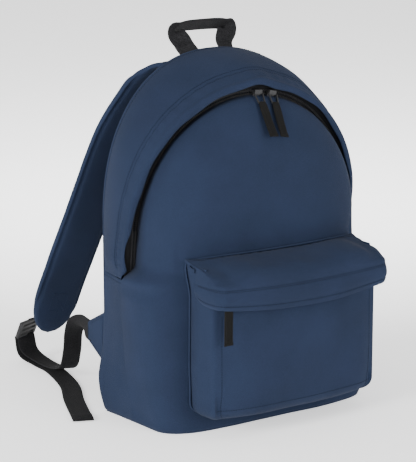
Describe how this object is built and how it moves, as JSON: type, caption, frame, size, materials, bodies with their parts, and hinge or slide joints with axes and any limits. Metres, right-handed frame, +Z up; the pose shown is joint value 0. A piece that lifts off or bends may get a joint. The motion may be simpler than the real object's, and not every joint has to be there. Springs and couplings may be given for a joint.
{
  "type": "school backpack",
  "caption": "Navy school backpack with an arched zip, a hooded front pocket, padded shoulder straps and a webbing grab handle.",
  "frame": {"origin": "centre of the base, on the surface that the bag stands on", "axes": "+Z up, the front pocket faces -Y, +X is the viewer's right from the front"},
  "size_m": [0.415, 0.4304, 0.4534],
  "materials": {
    "navy_fabric": "woven polyester, matt",
    "black_webbing": "woven webbing",
    "pull_cord": "woven tape",
    "black_plastic": "moulded, satin",
    "slider_metal": "gunmetal lacquer",
    "foam": "closed-cell foam"
  },
  "bodies": {
    "bag": {"back_panel": "navy_fabric", "back_foam_pad": "foam", "back_lining": "navy_fabric", "strap_anchor_band": "navy_fabric", "lower_body_wrap": "navy_fabric", "base_panel": "navy_fabric", "base_stiffener": "foam", "top_gusset": "navy_fabric", "front_fold": "navy_fabric", "zip_tape_outer": "black_webbing", "zip_teeth_outer": "black_plastic", "pocket_gusset": "navy_fabric", "pocket_front_panel": "navy_fabric", "pocket_zip_tape_lower": "black_webbing", "pocket_zip_teeth_lower": "black_plastic", "pocket_zip_tape_upper": "black_webbing", "pocket_zip_teeth_upper": "black_plastic", "pocket_hood": "navy_fabric", "pocket_piping_left": "navy_fabric", "pocket_piping_right": "navy_fabric", "anchor_tab_left": "navy_fabric", "anchor_tab_right": "navy_fabric", "adjuster_webbing_left": "black_webbing", "adjuster_webbing_right": "black_webbing", "webbing_tail_left": "black_webbing", "webbing_tail_right": "black_webbing"},
    "front_flap": {"front_flap": "navy_fabric", "zip_tape_inner": "black_webbing", "zip_teeth_inner": "black_plastic"},
    "storm_flap": {"pocket_storm_flap": "navy_fabric"},
    "grab_handle": {"grab_handle": "black_webbing"},
    "pocket_slider": {"pocket_slider": "slider_metal", "pocket_pull_link": "slider_metal"},
    "pocket_tab": {"pocket_pull_tab": "pull_cord"},
    "zip_slider_left": {"zip_slider_left": "slider_metal"},
    "zip_link_left": {"zip_pull_link_left": "slider_metal"},
    "zip_tab_left": {"zip_pull_tab_left": "pull_cord"},
    "strap_left": {"strap_pad_left": "navy_fabric", "ladder_lock_loop_left": "black_webbing", "ladder_lock_left": "black_plastic"},
    "zip_slider_right": {"zip_slider_right": "slider_metal"},
    "zip_link_right": {"zip_pull_link_right": "slider_metal"},
    "zip_tab_right": {"zip_pull_tab_right": "pull_cord"},
    "strap_right": {"strap_pad_right": "navy_fabric", "ladder_lock_loop_right": "black_webbing", "ladder_lock_right": "black_plastic"}
  },
  "joints": [
    {"name": "front_flap_hinge", "type": "hinge", "parent": "bag", "child": "front_flap", "pos_m": [0, 0.005, 0.1724], "axis": [1, 0, 0], "range_deg": [0, 14], "deforming": ["front_fold"]},
    {"name": "zip_slider_left_run", "type": "hinge", "parent": "front_flap", "child": "zip_slider_left", "pos_m": [0, -0.00088, 0.228], "axis": [0, -0.9945, -0.1051], "range_deg": [0, 82]},
    {"name": "zip_link_left_lift", "type": "hinge", "parent": "zip_slider_left", "child": "zip_link_left", "pos_m": [0.00786, -0.02001, 0.37671], "axis": [-0.9986, -0.0055, 0.052], "range_deg": [0, 40]},
    {"name": "zip_tab_left_swing", "type": "hinge", "parent": "zip_link_left", "child": "zip_tab_left", "pos_m": [0.00724, -0.03004, 0.36387], "axis": [-0.9986, -0.0055, 0.052], "range_deg": [0, 80]},
    {"name": "zip_slider_right_run", "type": "hinge", "parent": "front_flap", "child": "zip_slider_right", "pos_m": [0, -0.00088, 0.228], "axis": [0, -0.9945, -0.1051], "range_deg": [-78, 0]},
    {"name": "zip_link_right_lift", "type": "hinge", "parent": "zip_slider_right", "child": "zip_link_right", "pos_m": [0.02864, -0.01975, 0.37417], "axis": [0.9816, 0.0201, -0.1898], "range_deg": [-40, 0]},
    {"name": "zip_tab_right_swing", "type": "hinge", "parent": "zip_link_right", "child": "zip_tab_right", "pos_m": [0.0264, -0.0298, 0.36153], "axis": [-0.9816, -0.0201, 0.1898], "range_deg": [0, 80]},
    {"name": "pocket_slider_run", "type": "slide", "parent": "bag", "child": "pocket_slider", "axis": [1, 0, 0], "range_m": [0, 0.21]},
    {"name": "pocket_tab_swing", "type": "hinge", "parent": "pocket_slider", "child": "pocket_tab", "pos_m": [-0.105, -0.1233, 0.1593], "axis": [-1, 0, 0], "range_deg": [0, 55]},
    {"name": "storm_flap_lift", "type": "hinge", "parent": "bag", "child": "storm_flap", "pos_m": [0, -0.1276, 0.1865], "axis": [-1, 0, 0], "range_deg": [0, 100]},
    {"name": "grab_handle_fold", "type": "hinge", "parent": "bag", "child": "grab_handle", "pos_m": [0, 0.076, 0.421], "axis": [-1, 0, 0], "range_deg": [-14, 56]},
    {"name": "strap_left_swing", "type": "hinge", "parent": "bag", "child": "strap_left", "pos_m": [0, 0.079, 0.388], "axis": [1, 0, 0], "range_deg": [-12, 8], "deforming": ["adjuster_webbing_left", "webbing_tail_left"]},
    {"name": "strap_right_swing", "type": "hinge", "parent": "bag", "child": "strap_right", "pos_m": [0, 0.079, 0.388], "axis": [1, 0, 0], "range_deg": [-12, 8], "deforming": ["adjuster_webbing_right", "webbing_tail_right"]}
  ],
  "couplings": [
    {"joint": "zip_link_left_lift", "follows": "zip_slider_left_run", "ratio": 0.45},
    {"joint": "zip_link_right_lift", "follows": "zip_slider_right_run", "ratio": 0.45}
  ]
}
